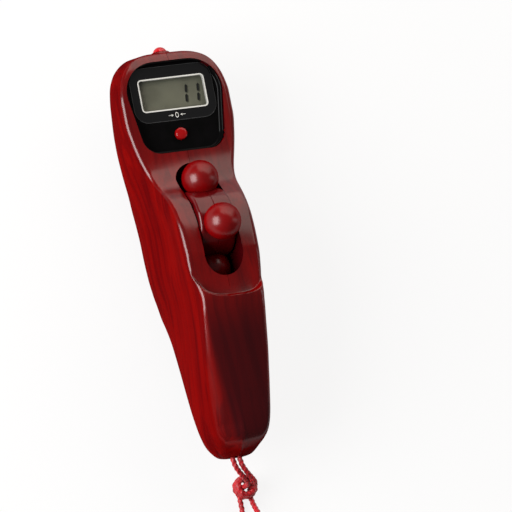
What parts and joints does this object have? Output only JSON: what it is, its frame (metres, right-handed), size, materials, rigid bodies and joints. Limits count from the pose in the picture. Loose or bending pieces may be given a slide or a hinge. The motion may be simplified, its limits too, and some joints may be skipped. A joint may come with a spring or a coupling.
{
  "type": "tally counter",
  "caption": "Handheld tally counter in glossy rosewood-look plastic: display head, red reset button, a beaded drum turned by the thumb, deep handle and a wrist cord.",
  "frame": {"origin": "middle of the counter's box without its cord, on the surface it lies on", "axes": "+X to the right of the display, +Y from tail to head, +Z out of the display face; it lies on its back"},
  "size_m": [0.047, 0.1861, 0.0523],
  "materials": {
    "rosewood_shell": "glossy wood-grain film under clear lacquer",
    "rosewood_drum": "glossy moulded plastic",
    "bead_red": "polished moulded plastic",
    "black_bezel": "glossy black moulding",
    "clear_window": "clear acrylic pane",
    "lcd_grey": "grey-green liquid-crystal panel",
    "strip_pink": "layered conductive rubber",
    "board_green": "solder-masked laminate",
    "chip_black": "epoxy cap",
    "part_tan": "ceramic parts",
    "steel": "plated steel",
    "lamp_red": "clear red lamp body",
    "button_red": "polished red cap",
    "magnet_grey": "plated magnet",
    "reed_glass": "thin glass tube",
    "cell_metal": "cell can",
    "wire_red": "insulated wire",
    "wire_black": "insulated wire",
    "cord_red": "twisted two-strand cord",
    "tie_dark": "flat tape"
  },
  "bodies": {
    "case": {"left_shell": "rosewood_shell", "right_shell": "rosewood_shell", "shell_screw_head": "steel", "shell_screw_middle": "steel", "shell_screw_tail": "steel", "display_bezel": "black_bezel", "display_window": "clear_window", "lcd_panel": "lcd_grey", "contact_strip": "strip_pink", "circuit_board": "board_green", "controller_cap": "chip_black", "board_components": "part_tan", "board_screws": "steel", "led_lamp": "lamp_red", "led_leads": "steel", "reset_dome": "steel", "drum_axle": "steel", "reed_switch": "reed_glass", "sensor_leads": "steel", "cell_outer": "cell_metal", "cell_inner": "cell_metal", "cell_plate": "steel", "cell_ring": "steel", "wire_plate": "wire_red", "wire_ring": "wire_black", "anchor_pin": "steel", "wrist_cord": "cord_red", "cord_knot": "cord_red", "cord_hank": "cord_red", "hank_tie": "tie_dark"},
    "reset": {"reset_button": "button_red"},
    "door": {"battery_door": "rosewood_shell"},
    "drum": {"drum_left_half": "rosewood_drum", "drum_right_half": "rosewood_drum", "bead_top": "bead_red", "bead_head": "bead_red", "bead_low": "bead_red", "bead_tail": "bead_red", "drum_screws": "steel", "drum_magnets": "magnet_grey"}
  },
  "joints": [
    {"name": "reset_press", "type": "slide", "parent": "case", "child": "reset", "axis": [0, 0, -1], "range_m": [0, 0.0007], "stiffness_N_per_m": 400, "deforming": ["reset_dome"]},
    {"name": "door_turn", "type": "hinge", "parent": "case", "child": "door", "pos_m": [0, -0.04084, 0.00689], "axis": [0, 0.2164, 0.9763], "range_deg": [0, 90]},
    {"name": "drum_spin", "type": "hinge", "parent": "case", "child": "drum", "pos_m": [0, 0.00685, 0.0307], "axis": [1, 0, 0], "continuous": true}
  ]
}
